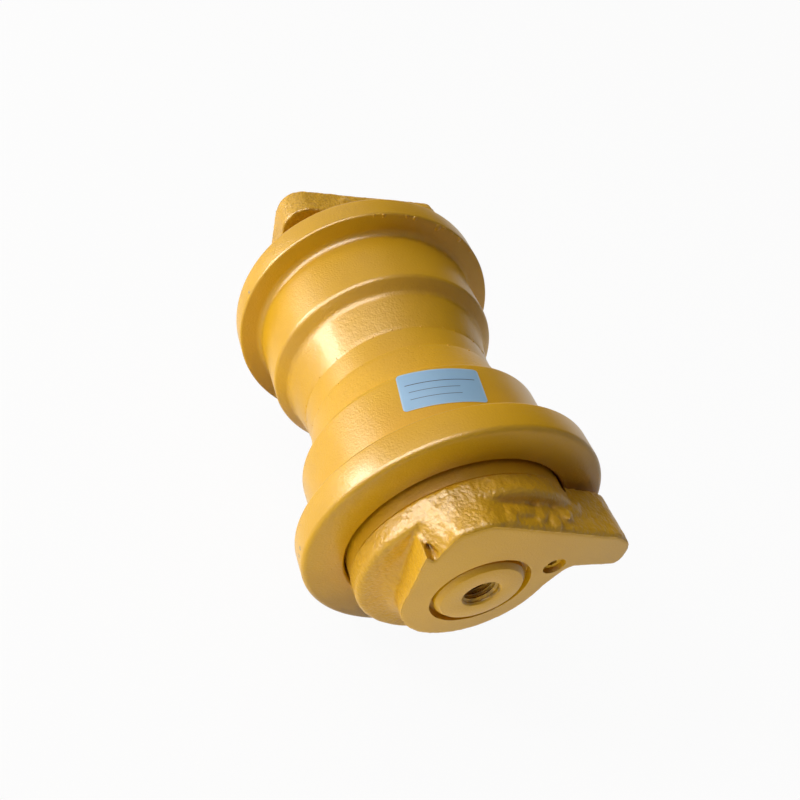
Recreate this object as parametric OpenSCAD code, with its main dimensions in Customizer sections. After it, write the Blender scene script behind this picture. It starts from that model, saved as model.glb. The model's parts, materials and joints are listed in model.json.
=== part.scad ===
// Track roller of a small crawler machine: a flanged shell that turns on a fixed, collared shaft.
// The axle lies along Y, +Z is up, and the origin is the middle of the shell on its axis.

/* [Shell] */
// Diameter of the two running treads
tread_d = 114.6; // [108:0.2:120]
// Height of the guide flanges over the treads
flange_h = 10.7; // [8:0.1:14]
// Width of each flange rim along the axle
flange_w = 14.5; // [11:0.5:16]
// Radius on the outer edge of each rim
rim_round = 2.4; // [0.5:0.1:4]
// Radius on the inner edge of each rim
rim_inner_round = 1.2; // [0.4:0.1:2]
// Lean of the inner flange wall, taken over its height
flange_draft = 0.6; // [0:0.1:1.2]
// Overall width of the shell between its end faces
shell_w = 154; // [150:0.5:164]
// Radius in the corner between tread and flange
tread_fillet = 3.5; // [1:0.1:5]
// Distance from the middle of the shell to the start of each tread
tread_start = 31.5; // [29:0.5:36]
// Radius on the waist side of each tread
tread_round = 2.6; // [1:0.1:4]
// Drop from the tread to the waist at the foot of the step
step_drop = 6.3; // [5:0.1:8]
// Length of the step from the waist to the tread
step_run = 5.9; // [5:0.1:8]
// Drop from the tread to the waist beside the weld band
waist_drop = 9.8; // [8.5:0.1:12]
// Width of the weld band round the middle
weld_w = 12; // [8:0.5:18]
// Depth of the weld band below the waist
weld_sink = 0.5; // [0.2:0.1:1]
// Undercut of the oil space below the bush seats
oil_undercut = 3.4; // [1:0.1:5]
// Width of the oil space between the bushes
oil_w = 36; // [20:1:50]
// Diameter of the counterbore in each end face
counterbore_d = 100; // [97:0.2:104]
// Depth of the counterbore in each end face
counterbore_depth = 13; // [10:0.5:15]
// Depth of the seal housing below the counterbore
housing_depth = 11; // [10:0.2:13]
// Chamfer at the mouth of the counterbore
mouth_chamfer = 1; // [0.3:0.1:2]

/* [Shaft] */
// Diameter of the shaft
shaft_d = 40; // [37:0.2:42]
// Chamfer on the shaft ends
shaft_chamfer = 2; // [0.5:0.1:3]
// How far each shaft end stands out of its collar
shaft_proud = 1.3; // [0.2:0.1:3]
// Nominal diameter of the mounting threads
thread_d = 16; // [12:1:20]
// Depth of the mounting threads
thread_depth = 34; // [24:1:40]
// Height of the drill point below each thread
drill_point = 4; // [1:0.5:6]
// Countersink at the thread mouth
thread_chamfer = 0.9; // [0.3:0.1:1.5]

/* [Collars] */
// Extra radius of the rough casting beyond the machined band
cast_step = 0.4; // [0:0.1:1]
// Distance from the shell face to the end of the machined band
band_reach = 6.2; // [4:0.1:8]
// Distance from the shell face to the front of the disc
disc_reach = 15.6; // [12:0.2:20]
// Round on the front edge of the disc, drawn as a chamfer
disc_chamfer = 1.6; // [0.5:0.1:4]
// Distance from the shell face to the collar face
collar_reach = 27.5; // [25:0.5:35]
// Distance from the shell face to the back of the near wing
wing_gap = 3.5; // [2:0.1:5]
// Wall of the hub that carries the seal and takes end thrust
hub_wall = 8; // [6:0.1:9]
// Radius of the round lower half of the block
block_r = 33.4; // [31:0.2:37]
// Offset of the round half away from the wing
block_shift = 1.0; // [0:0.1:2]
// Radius of the cove between the disc and the block
cove_r = 9; // [4:0.5:11]
// Height of the top of the near block above the axle
top_z = 43; // [39:0.2:47]
// Fall of the top towards the wing, in degrees
top_slope = 7.8; // [0:0.1:10]
// Left end of the top
top_left = 26; // [23:0.5:31]
// Left side of the block at the top corner
side_left = 34; // [32:0.5:36]
// Height of the step in the left side
notch_z = 25.5; // [23:0.5:29]
// Depth of the step in the left side
notch_depth = 4.5; // [2:0.5:6]
// Distance from the axle to the middle of the near wing nose
nose_x = 45; // [41:0.5:49]
// Radius of the near wing nose
nose_r = 20; // [17:0.5:21]
// Radius on the lower corner of the nose
nose_corner = 3; // [1:0.5:5]
// Height of the underside of the near wing above the axle
wing_under = 15.2; // [13:0.2:18]
// Radius of the hollow under the wing
under_fillet = 6; // [3:0.5:8]
// Width of the relief round the shaft end
relief_w = 2.4; // [1.5:0.1:4]
// Depth of the relief round the shaft end
relief_depth = 4; // [2:0.2:6]

/* [Far collar] */
// Height of the top of the far block above the axle
far_top_z = 53; // [50:0.2:56]
// Distance from the axle to the middle of the far wing nose
far_nose_x = 41; // [38:0.5:44]
// Radius of the far wing nose
far_nose_r = 12; // [9:0.5:14]
// Height of the underside of the far wing above the axle
far_wing_under = 9; // [6:0.2:12]
// Distance from the shell face to the back of the far wing
far_wing_gap = 10; // [6:0.2:14]

/* [Bushes] */
// Wall of each bush
bush_wall = 3.5; // [2.5:0.1:5]
// Height of the bush flange over the bush
bush_flange_h = 6.4; // [4:0.1:7]
// Thickness of the bush flange
bush_flange_t = 4; // [3:0.1:5]
// Lead chamfer at the inner end of each bush
bush_chamfer = 0.8; // [0.2:0.1:1.5]

/* [Seals] */
// Wall of the seal ring body
ring_wall = 3.5; // [2.5:0.1:5]
// Length of each seal ring
ring_len = 6.4; // [5:0.1:7.4]
// Thickness of the seal ring face flange
ring_face_t = 2.4; // [1.5:0.1:3]
// Height of the face flange over the ring body
ring_lip = 5; // [3:0.1:6]
// Section diameter of the rubber torics
toric_d = 6.8; // [5.5:0.1:7.4]
// Distance of the sealing plane outside the counterbore floor
seal_offset = 1; // [0.5:0.1:2]
// Section diameter of the shaft O-rings
oring_d = 2.5; // [1.8:0.1:3.2]
// Width of the O-ring grooves
oring_groove_w = 3.4; // [3.3:0.1:5]
// Distance of the O-ring grooves inside the shell face
oring_inset = 8; // [5:0.5:11]

/* [Lock pins] */
// Diameter of the collar lock pins
pin_d = 10; // [7:0.5:11]
// Length of the collar lock pins
pin_len = 50; // [40:1:54]
// Height of the top of each pin above the axle
pin_top = 14; // [8:0.5:16]
// Distance of the pin axis outside the shaft surface
pin_offset = 0.5; // [0:0.1:1.5]
// Distance of the pin axis outside the shell face
pin_reach = 9.5; // [8.5:0.1:11]

/* [Oil plugs] */
// Sideways place of the plug in the collar face
plug_x = 28.6; // [28:0.1:29.5]
// Height of the plug above the axle
plug_z = 16; // [15:0.2:18]
// Nominal diameter of the plug thread
plug_d = 8; // [6:0.5:8.5]
// Length of the plug
plug_len = 9; // [7:0.5:12]
// Size of the hex socket across its flats
plug_hex = 4; // [3:0.5:5]
// Depth of the hex socket
plug_hex_depth = 4; // [2:0.5:6]
// Diameter of the recess round the plug
plug_recess_d = 10.4; // [9.5:0.2:11]
// Depth of the recess round the plug
plug_recess = 2.5; // [1.5:0.1:4]
// How far the plug stands above the floor of its recess
plug_rise = 0.5; // [0:0.1:1.2]

/* [Label] */
// Length of the label round the tread, as an angle
label_angle = 34; // [20:1:50]
// Turn of the label's middle from the wing side
label_turn = 111; // [60:1:150]
// Width of the label along the axle
label_w = 19; // [12:0.5:22]
// Distance from the start of the tread to the label
label_inset = 0.5; // [0.2:0.1:3]
// Thickness of the label
label_t = 0.2; // [0.1:0.05:0.4]

/* [Clearances] */
// Radial running clearance between shaft and bush
run_gap = 0.05; // [0.02:0.01:0.1]
// End float between bush flange and collar hub
end_float = 0.25; // [0.1:0.05:0.5]
// Clearance of a seated or pressed piece
seat_gap = 0.02; // [0.01:0.01:0.05]
// Clearance of a rubber toric in its seat
toric_gap = 0.1; // [0.05:0.05:0.2]
// Clearance between the two sealing faces
face_gap = 0.04; // [0.02:0.01:0.1]
// Radial clearance between collar disc and counterbore
disc_gap = 1; // [0.6:0.1:2]
// Radial clearance between collar hub and seal rings
ring_gap = 3; // [2:0.1:4]
// Clearance between collar disc and counterbore floor
floor_gap = 2.2; // [1.5:0.1:3]
// Room behind the fixed seal ring and its toric
pocket_room = 1.2; // [0.6:0.1:2]

/* [Hidden] */
$fn = 96;
eps = 0.01;
arc_steps = 5;

// Radii taken from the diameters
tread_r = tread_d / 2;
flange_r = tread_r + flange_h;
foot_r = tread_r - step_drop;
waist_r = tread_r - waist_drop;
counterbore_r = counterbore_d / 2;
disc_r = counterbore_r - disc_gap;
shaft_r = shaft_d / 2;
thread_r = thread_d / 2;
pin_r = pin_d / 2;
plug_r = plug_d / 2;
toric_r = toric_d / 2;
oring_r = oring_d / 2;

// Stations along the axle, measured from the middle of the shell
shell_end = shell_w / 2;
rim_start = shell_end - flange_w;
waist_foot = tread_start - step_run;
floor_at = shell_end - counterbore_depth;
bush_seat = floor_at - housing_depth;
thrust_face = bush_seat + bush_flange_t;
seal_plane = floor_at + seal_offset;
disc_back = floor_at + floor_gap;
hub_back = thrust_face + end_float;
pocket_end = seal_plane + max(ring_len, ring_face_t + toric_gap + toric_d) + pocket_room;
disc_front = shell_end + disc_reach;
collar_front = shell_end + collar_reach;
shaft_end = collar_front + shaft_proud;
oring_at = shell_end - oring_inset;
pin_at = shell_end + pin_reach;
plug_floor = collar_front - plug_recess;

// Fits across the axle
bush_bore_r = shaft_r + run_gap;
bush_r = bush_bore_r + bush_wall;
bush_flange_r = bush_r + bush_flange_h;
bush_seat_r = bush_r + seat_gap;
oil_r = bush_seat_r + oil_undercut;
collar_bore_r = shaft_r + seat_gap;
relief_r = shaft_r + relief_w;
hub_r = collar_bore_r + hub_wall;
ring_bore_r = hub_r + ring_gap;
ring_r = ring_bore_r + ring_wall;
toric_mid_r = ring_r + toric_gap + toric_r;
housing_r = toric_mid_r + toric_r + toric_gap;
groove_r = collar_bore_r - oring_d - 2 * seat_gap;
pin_x = -(shaft_r + pin_offset);

// Points of an arc about c from angle a to angle b
function arc(c, r, a, b) = [for (i = [0:arc_steps]) let (t = a + (b - a) * i / arc_steps) c + r * [cos(t), sin(t)]];
// Height of a block top at a place x, from its height over the axle
function top_at(top, x) = top - x * tan(top_slope);
// The same outline on the other side of the middle
function other_half(p) = [for (i = [len(p) - 1:-1:0]) [p[i][0], -p[i][1]]];

// Outside of half the shell section, from the weld band to the rim, radius against station
shell_outside = concat(
    [[waist_r - weld_sink, weld_w / 2], [waist_r, weld_w / 2 + weld_sink], [foot_r, waist_foot]],
    arc([tread_r - tread_round, tread_start], tread_round, -60, 0),
    arc([tread_r + tread_fillet, rim_start - tread_fillet], tread_fillet, 180, 90),
    arc([flange_r - rim_inner_round, rim_start + flange_draft + rim_inner_round], rim_inner_round, -90, 0),
    arc([flange_r - rim_round, shell_end - rim_round], rim_round, 0, 90)
);

// Inside of the same half, from the mouth of the counterbore to the oil space
shell_inside = [
    [counterbore_r + mouth_chamfer, shell_end], [counterbore_r, shell_end - mouth_chamfer],
    [counterbore_r, floor_at], [housing_r, floor_at], [housing_r, bush_seat],
    [bush_seat_r, bush_seat], [bush_seat_r, oil_w / 2], [oil_r, oil_w / 2]
];

// Turns a piece drawn along +Z to the near end of the axle, which is -Y
module near_end() {
    rotate([90, 0, 0]) children();
}

// Turns the same piece half round about the vertical to the far end
module far_end() {
    rotate([0, 0, 180]) near_end() children();
}

// Solid of revolution from points of radius against station
module turned(points) {
    rotate_extrude() polygon(points);
}

// Front view of a collar block with its wing
module block_outline(top, nose, round_r, under) {
    left_top = notch_z + notch_depth;
    right_x = block_r - block_shift;
    nose_z = top_at(top, nose) - round_r;
    corner_z = under + nose_corner;
    lift = max(0, corner_z - nose_z);
    corner_x = nose + sqrt(round_r * round_r - lift * lift) - nose_corner;
    translate([-block_shift, 0]) circle(r = block_r);
    polygon([
        [-block_shift - block_r, 0], [-block_shift, -block_r], [right_x, 0], [right_x + under_fillet, under],
        [nose, under], [nose, top_at(top, nose)], [-top_left, top_at(top, -top_left)],
        [-side_left, top_at(top, -top_left) - notch_depth], [-side_left, left_top],
        [-side_left - notch_depth, notch_z]
    ]);
    intersection() {
        translate([nose, nose_z]) circle(r = round_r);
        translate([nose - eps, corner_z]) square([round_r + 1, round_r * 3]);
    }
    if (nose_z > corner_z)
        translate([nose - eps, corner_z]) square([round_r + eps, nose_z - corner_z]);
    translate([corner_x, corner_z]) circle(r = nose_corner);
    translate([nose - eps, under]) square([corner_x - nose + eps, nose_corner + eps]);
}

// Round hollow that blends the underside of the wing into the right side of the block
module under_hollow(under) {
    translate([block_r - block_shift + under_fillet, under - under_fillet]) circle(r = under_fillet);
}

// Cove that blends the round half of the block into the front of the disc
module cove() {
    translate([-block_shift, 0, 0]) turned(concat(
        [[block_r - 1, disc_front - 1], [block_r + cove_r, disc_front - 1]],
        arc([block_r + cove_r, disc_front + cove_r], cove_r, 270, 180),
        [[block_r - 1, disc_front + cove_r]]
    ));
}

// Solid of revolution part of the collar: hub, seal pocket and disc
module collar_disc() {
    cast_r = disc_r + cast_step;
    turned([
        [collar_bore_r, hub_back], [hub_r, hub_back], [hub_r, pocket_end], [housing_r, pocket_end],
        [housing_r, disc_back], [disc_r, disc_back], [disc_r, shell_end + band_reach],
        [cast_r, shell_end + band_reach + cast_step], [cast_r, disc_front - disc_chamfer],
        [cast_r - disc_chamfer, disc_front], [collar_bore_r, disc_front]
    ]);
}

// End collar, drawn for the near end
module collar(top, nose, round_r, under, gap) {
    difference() {
        union() {
            collar_disc();
            cove();
            translate([0, 0, shell_end + gap])
                linear_extrude(collar_front - shell_end - gap)
                    difference() {
                        block_outline(top, nose, round_r, under);
                        under_hollow(under);
                        circle(r = collar_bore_r);
                    }
        }
        translate([0, 0, collar_front - relief_depth]) cylinder(r = relief_r, h = relief_depth + 1);
        translate([plug_x, plug_z, plug_floor]) cylinder(d = plug_recess_d, h = plug_recess + 1);
        translate([plug_x, plug_z, pocket_end - 1]) cylinder(r = plug_r + seat_gap, h = plug_floor - pocket_end + 2);
        pin_hole();
    }
}

// Blind hole for the lock pin, open at the bottom
module pin_hole() {
    translate([pin_x, pin_top + seat_gap, pin_at]) rotate([90, 0, 0])
        cylinder(r = pin_r + seat_gap, h = pin_top + seat_gap + disc_r + 5);
}

// Lock pin that lies half in the shaft and half in the collar
module lock_pin() {
    color([0.35, 0.35, 0.37]) translate([pin_x, pin_top, pin_at]) rotate([90, 0, 0]) cylinder(r = pin_r, h = pin_len);
}

// One end of the shaft: thread, countersink, O-ring groove and pin notch to be cut away
module shaft_cuts() {
    translate([0, 0, shaft_end - thread_depth]) cylinder(r = thread_r, h = thread_depth + 1);
    translate([0, 0, shaft_end - thread_depth - drill_point])
        cylinder(r1 = 0.2, r2 = thread_r, h = drill_point + eps);
    translate([0, 0, shaft_end - thread_chamfer])
        cylinder(r1 = thread_r, r2 = thread_r + 2 * thread_chamfer, h = 2 * thread_chamfer);
    translate([0, 0, oring_at - oring_groove_w / 2])
        difference() {
            cylinder(r = shaft_r + 2, h = oring_groove_w);
            translate([0, 0, -1]) cylinder(r = groove_r, h = oring_groove_w + 2);
        }
    pin_hole();
}

module shaft() {
    color([0.82, 0.62, 0.25])
        difference() {
            near_end() turned([
                [0, -shaft_end], [shaft_r - shaft_chamfer, -shaft_end], [shaft_r, -shaft_end + shaft_chamfer],
                [shaft_r, shaft_end - shaft_chamfer], [shaft_r - shaft_chamfer, shaft_end], [0, shaft_end]
            ]);
            near_end() shaft_cuts();
            far_end() shaft_cuts();
        }
}

module roller_shell() {
    color([0.86, 0.65, 0.22]) near_end() turned(concat(
        other_half(shell_outside), shell_outside, shell_inside, other_half(shell_inside)));
}

module near_collar() {
    color([0.78, 0.58, 0.22]) near_end() collar(top_z, nose_x, nose_r, wing_under, wing_gap);
}

module far_collar() {
    color([0.78, 0.58, 0.22]) far_end() collar(far_top_z, far_nose_x, far_nose_r, far_wing_under, far_wing_gap);
}

// Flanged bush whose flange takes the end thrust of the collar
module bush() {
    color([0.72, 0.5, 0.22])
        turned([
            [bush_bore_r, oil_w / 2], [bush_r - bush_chamfer, oil_w / 2], [bush_r, oil_w / 2 + bush_chamfer],
            [bush_r, bush_seat], [bush_flange_r, bush_seat], [bush_flange_r, thrust_face],
            [bush_bore_r, thrust_face]
        ]);
}

module near_bush() {
    near_end() bush();
}

module far_bush() {
    far_end() bush();
}

// Metal seal ring on one side of the sealing plane: side -1 turns with the shell, side 1 stays with the collar
module seal_ring(side) {
    face = seal_plane + side * face_gap / 2;
    lip = seal_plane + side * ring_face_t;
    end = seal_plane + side * ring_len;
    color([0.55, 0.56, 0.58])
        turned([
            [ring_bore_r, face], [ring_r + ring_lip, face], [ring_r + ring_lip, lip],
            [ring_r, lip], [ring_r, end], [ring_bore_r, end]
        ]);
}

// Rubber toric behind the face flange of a seal ring
module toric(side) {
    color([0.08, 0.08, 0.09])
        rotate_extrude()
            translate([toric_mid_r, seal_plane + side * (ring_face_t + toric_gap + toric_r)]) circle(r = toric_r);
}

module near_rotating_ring() {
    near_end() seal_ring(-1);
}

module far_rotating_ring() {
    far_end() seal_ring(-1);
}

module near_fixed_ring() {
    near_end() seal_ring(1);
}

module far_fixed_ring() {
    far_end() seal_ring(1);
}

module near_rotating_toric() {
    near_end() toric(-1);
}

module far_rotating_toric() {
    far_end() toric(-1);
}

module near_fixed_toric() {
    near_end() toric(1);
}

module far_fixed_toric() {
    far_end() toric(1);
}

// O-ring in the shaft groove
module shaft_oring() {
    color([0.08, 0.08, 0.09])
        rotate_extrude() translate([groove_r + seat_gap + oring_r, oring_at]) circle(r = oring_r);
}

module near_shaft_oring() {
    near_end() shaft_oring();
}

module far_shaft_oring() {
    far_end() shaft_oring();
}

module near_lock_pin() {
    near_end() lock_pin();
}

module far_lock_pin() {
    far_end() lock_pin();
}

// Socket plug of the oil hole
module oil_plug() {
    top = plug_floor + plug_rise;
    color([0.6, 0.45, 0.2])
        translate([plug_x, plug_z, top - plug_len])
            difference() {
                cylinder(r = plug_r, h = plug_len);
                translate([0, 0, plug_len - plug_hex_depth])
                    cylinder(d = plug_hex / cos(30), h = plug_hex_depth + 1, $fn = 6);
            }
}

module near_oil_plug() {
    near_end() oil_plug();
}

module far_oil_plug() {
    far_end() oil_plug();
}

// Blank label wrapped on the near tread
module inspection_label() {
    color([0.55, 0.7, 0.85])
        near_end()
            rotate([0, 0, label_turn - label_angle / 2])
                rotate_extrude(angle = label_angle)
                    translate([tread_r + seat_gap, tread_start + label_inset]) square([label_t, label_w]);
}

roller_shell();
near_collar();
far_collar();
shaft();
near_bush();
far_bush();
near_rotating_ring();
far_rotating_ring();
near_fixed_ring();
far_fixed_ring();
near_rotating_toric();
far_rotating_toric();
near_fixed_toric();
far_fixed_toric();
near_shaft_oring();
far_shaft_oring();
near_lock_pin();
far_lock_pin();
near_oil_plug();
far_oil_plug();
inspection_label();
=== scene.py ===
"""Track roller: a painted flanged shell that turns on a fixed axle between two cast end collars."""

import json
import math

import bpy
from bpy.props import FloatProperty, FloatVectorProperty, IntProperty, PointerProperty
from bpy.types import Operator, Panel, PropertyGroup
from mathutils import Matrix, Vector

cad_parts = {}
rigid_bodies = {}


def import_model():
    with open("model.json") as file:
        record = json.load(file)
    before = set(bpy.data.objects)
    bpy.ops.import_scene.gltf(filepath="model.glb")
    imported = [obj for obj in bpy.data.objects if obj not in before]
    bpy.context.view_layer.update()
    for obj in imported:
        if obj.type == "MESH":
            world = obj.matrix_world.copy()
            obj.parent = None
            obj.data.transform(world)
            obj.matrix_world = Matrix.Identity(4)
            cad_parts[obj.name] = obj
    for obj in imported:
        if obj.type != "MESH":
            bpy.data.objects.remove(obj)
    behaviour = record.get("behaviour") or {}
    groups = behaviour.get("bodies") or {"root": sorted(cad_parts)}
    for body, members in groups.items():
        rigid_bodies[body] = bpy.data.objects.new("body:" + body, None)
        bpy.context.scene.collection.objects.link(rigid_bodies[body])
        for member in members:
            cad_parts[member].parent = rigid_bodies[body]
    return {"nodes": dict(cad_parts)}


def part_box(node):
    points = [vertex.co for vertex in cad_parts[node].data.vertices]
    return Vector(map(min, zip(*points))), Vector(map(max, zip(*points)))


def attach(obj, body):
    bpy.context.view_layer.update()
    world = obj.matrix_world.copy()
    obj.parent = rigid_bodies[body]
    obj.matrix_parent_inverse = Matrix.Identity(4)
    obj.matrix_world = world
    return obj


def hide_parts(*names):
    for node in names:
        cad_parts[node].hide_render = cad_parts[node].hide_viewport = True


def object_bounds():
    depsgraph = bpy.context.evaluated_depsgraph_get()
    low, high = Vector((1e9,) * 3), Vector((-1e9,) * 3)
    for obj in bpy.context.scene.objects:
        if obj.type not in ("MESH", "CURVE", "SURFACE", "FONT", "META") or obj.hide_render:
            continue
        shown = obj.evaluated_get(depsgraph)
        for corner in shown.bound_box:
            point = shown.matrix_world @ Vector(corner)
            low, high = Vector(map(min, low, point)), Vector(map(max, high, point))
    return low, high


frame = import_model()
CAD_BOX = [list(corner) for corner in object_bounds()]
SHELL_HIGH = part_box("roller_shell")[1]
SHAFT_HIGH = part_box("shaft")[1]
LABEL_LOW, LABEL_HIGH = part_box("inspection_label")
COLLAR_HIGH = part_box("far_collar")[1]

bl_info = {
    "name": "Track Roller",
    "version": (1, 0, 0),
    "blender": (4, 5, 0),
    "location": "View3D > Sidebar > Roller",
    "description": "Models a painted crawler track roller and the studio it stands in",
    "category": "Add Mesh",
}

MM = 0.001
MERGE = 2e-6
FACET = 0.45 * MM
WIDE_ROUND = 0.02

# Fits that more than one cut shares: radii, and stations along the axle from the middle, in millimetres.
SEAL_RADIUS = 41.52
HUB_RADIUS = 28.02
DISC_BACK = 66.2
COVE_FOOT = 32.4


def length(name, description, default):
    """A size in metres that the sidebar shows in the scene's unit."""
    return FloatProperty(name=name, description=description, default=default, unit="LENGTH", precision=5)


def tint(name, description, default):
    """A colour, written as linear red, green and blue."""
    return FloatVectorProperty(
        name=name, description=description, default=default, size=3, subtype="COLOR", min=0.0, max=1.0
    )


def angle(name, description, degrees):
    """An angle, given here in degrees."""
    return FloatProperty(name=name, description=description, default=math.radians(degrees), subtype="ANGLE")


def level(name, description, default):
    """The power of a lamp or the brightness of a part of the stage."""
    return FloatProperty(name=name, description=description, default=default, min=0.0)


class ShellSizes(PropertyGroup):
    half_width: length("Half width", "From the middle to the face of a flange", SHELL_HIGH.y)
    flange_radius: length("Flange radius", "Outside of the flanges", SHELL_HIGH.x)
    tread_radius: length("Tread radius", "Where the track rails run", 57.3 * MM)
    foot_radius: length("Foot radius", "Waist at the foot of the tread step", 51.0 * MM)
    waist_radius: length("Waist radius", "Waist beside the weld", 47.5 * MM)
    weld_radius: length("Weld radius", "Turned band over the weld", 47.0 * MM)
    forge_depth: length("Forge depth", "Height of the pimples on the forged waist", 0.10 * MM)
    steps: IntProperty(name="Steps", description="Steps round the shell", default=288, min=48)


class CollarSizes(PropertyGroup):
    front: length("Front", "From the middle to the collar face", COLLAR_HIGH.y)
    disc_front: length("Disc front", "From the middle to the front of the disc", 92.6 * MM)
    band_end: length("Band end", "Where the turned band meets the casting skin", 83.2 * MM)
    band_radius: length("Band radius", "Turned band of the disc", 49.0 * MM)
    skin_radius: length("Skin radius", "Rough rim of the disc", 49.4 * MM)
    block_radius: length("Block radius", "Round lower half of the block", 33.4 * MM)
    block_shift: length("Block shift", "Offset of the round half away from the wing", 1.0 * MM)
    cove: length("Cove", "Hollow between the block and the disc", 9.0 * MM)
    slope: angle("Slope", "Fall of the top towards the wing", 7.8)
    near_top: length("Near top", "Top of the near block above the axle", 43.0 * MM)
    far_top: length("Far top", "Top of the far block above the axle", 53.0 * MM)
    top_round: length("Top round", "Round on the front edge of the top", 2.0 * MM)
    skin_depth: length("Skin depth", "Height of the casting skin", 0.5 * MM)
    voxel: length("Voxel", "Grid that melts the casting together", 0.7 * MM)


class ShaftSizes(PropertyGroup):
    radius: length("Radius", "Outside of the shaft", SHAFT_HIGH.x)
    end: length("End", "From the middle to a shaft end", SHAFT_HIGH.y)
    chamfer: length("Chamfer", "Chamfer on the shaft ends", 2.0 * MM)
    thread_radius: length("Thread radius", "Tapped hole at its widest", 8.0 * MM)
    thread_depth: length("Thread depth", "Depth of the tapped hole", 34.0 * MM)
    pitch: length("Pitch", "Distance from one thread to the next", 2.0 * MM)


class LabelSizes(PropertyGroup):
    long: length("Long", "Round the tread", 34.0 * MM)
    wide: length("Wide", "Along the axle", 19.0 * MM)
    corner: length("Corner", "Round on the corners", 1.6 * MM)
    film: length("Film", "Thickness of the film", 0.14 * MM)
    turn: angle("Turn", "Middle of the label round the tread", 111)
    skew: angle("Skew", "How crooked it sits", -7.0)


class PaintColours(PropertyGroup):
    amber: tint("Amber", "Enamel on the whole roller", (0.565, 0.303, 0.003))
    deep: tint("Deep amber", "Enamel where it lies thick in the rough skin", (0.450, 0.222, 0.001))
    # Painted highlight: this colour lightens the convex edges of the enamel.
    pale: tint("Pale amber", "Enamel drawn thin over the edges", (0.680, 0.400, 0.030))
    primer: tint("Primer", "What shows where the enamel is chipped", (0.250, 0.220, 0.180))
    painted_shade: tint("Grime", "Dust and oil in the corners", (0.160, 0.095, 0.030))
    # Painted shade: this colour darkens concave corners, the tapped holes and the inside of the plug socket.
    film: tint("Film", "Blank label film", (0.200, 0.365, 0.560))
    rule: tint("Rule", "Plain ruled lines on the label", (0.035, 0.045, 0.065))


class StageSettings(PropertyGroup):
    key: level("Key", "Power of the key light", 3.0)
    strip: level("Strip", "Power of the high light on the left", 7.2)
    glint: level("Glint", "Brightness of the bright walls in the gloss", 27.0)
    side: level("Side", "Power of the soft light from the left front", 1.0)
    bounce: level("Bounce", "Power of the light up from the floor", 0.56)
    sky: level("Sky", "Level of the light from all round", 0.40)
    floor: tint("Floor", "Plain pale floor", (0.66, 0.655, 0.65))


def drop_selection():
    """Leaves nothing selected, in object mode."""
    if bpy.context.mode != "OBJECT":
        bpy.ops.object.mode_set(mode="OBJECT")
    bpy.ops.object.select_all(action="DESELECT")


def take(piece):
    """Makes the piece the only one selected."""
    drop_selection()
    piece.select_set(True)
    bpy.context.view_layer.objects.active = piece


def pick(piece, test, kind="VERT"):
    """Selects in edit mode the points that pass a test of place and normal, or edges by their two ends."""
    take(piece)
    mesh = piece.data
    for parts in (mesh.vertices, mesh.edges, mesh.polygons):
        parts.foreach_set("select", [False] * len(parts))
    if kind == "VERT":
        mesh.vertices.foreach_set("select", [bool(test(v.co, v.normal)) for v in mesh.vertices])
    else:
        ends = [[mesh.vertices[i].co for i in e.vertices] for e in mesh.edges]
        mesh.edges.foreach_set("select", [bool(test(a, b)) for a, b in ends])
    bpy.ops.object.mode_set(mode="EDIT")
    bpy.ops.mesh.select_mode(type=kind)


def pick_all(piece):
    """Selects the whole mesh in edit mode."""
    take(piece)
    bpy.ops.object.mode_set(mode="EDIT")
    bpy.ops.mesh.select_mode(type="VERT")
    bpy.ops.mesh.select_all(action="SELECT")


def close_up(piece):
    """Merges doubled points and turns every face outwards."""
    pick_all(piece)
    bpy.ops.mesh.remove_doubles(threshold=MERGE)
    bpy.ops.mesh.normals_make_consistent(inside=False)
    bpy.ops.object.mode_set(mode="OBJECT")


def change(piece, kind, **settings):
    """Adds a modifier with its settings and applies it."""
    take(piece)
    modifier = piece.modifiers.new(kind.title(), kind)
    for name, value in settings.items():
        setattr(modifier, name, value)
    bpy.ops.object.modifier_apply(modifier=modifier.name)


def chain(name, corners, closed):
    """Draws a line through corners of (point, round), rounds each corner, and closes the loop if asked."""
    drop_selection()
    points = [Vector(p) for p, _ in corners]
    bpy.ops.mesh.primitive_plane_add(size=MM, location=points[0])
    piece = bpy.context.object
    piece.name = piece.data.name = name
    bpy.ops.object.transform_apply(location=True)
    pick_all(piece)
    bpy.ops.mesh.merge(type="CENTER")
    for a, b in zip(points, points[1:]):
        bpy.ops.mesh.extrude_region_move(TRANSFORM_OT_translate={"value": b - a})
    if closed:
        ends = (points[0], points[-1])
        pick(piece, lambda co, n: min((co - e).length for e in ends) < 1e-6)
        bpy.ops.mesh.edge_face_add()
    count = len(points)
    for i, (point, rounding) in enumerate(corners):
        if not rounding or (not closed and i in (0, count - 1)):
            continue
        into = (points[i] - points[i - 1]).normalized()
        out = (points[(i + 1) % count] - points[i]).normalized()
        bend = into.angle(out)
        pick(piece, lambda co, n, p=points[i]: (co - p).length < 1e-6)
        bpy.ops.mesh.bevel(
            offset=rounding * math.tan(bend / 2),
            offset_type="OFFSET",
            segments=max(2, round(rounding * bend / FACET)) if rounding < WIDE_ROUND else 24,
            affect="VERTICES",
        )
    pick_all(piece)
    bpy.ops.mesh.remove_doubles(threshold=MERGE)
    bpy.ops.object.mode_set(mode="OBJECT")
    return piece


def split_long(piece, limit, test=lambda a, b: True):
    """Cuts the edges of a drawn line that are longer than the limit."""
    for cuts in range(60, 0, -1):
        pick(piece, lambda a, b: test(a, b) and cuts <= (a - b).length / limit < cuts + 1, "EDGE")
        bpy.ops.mesh.subdivide(number_cuts=cuts)
        bpy.ops.object.mode_set(mode="OBJECT")


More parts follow.
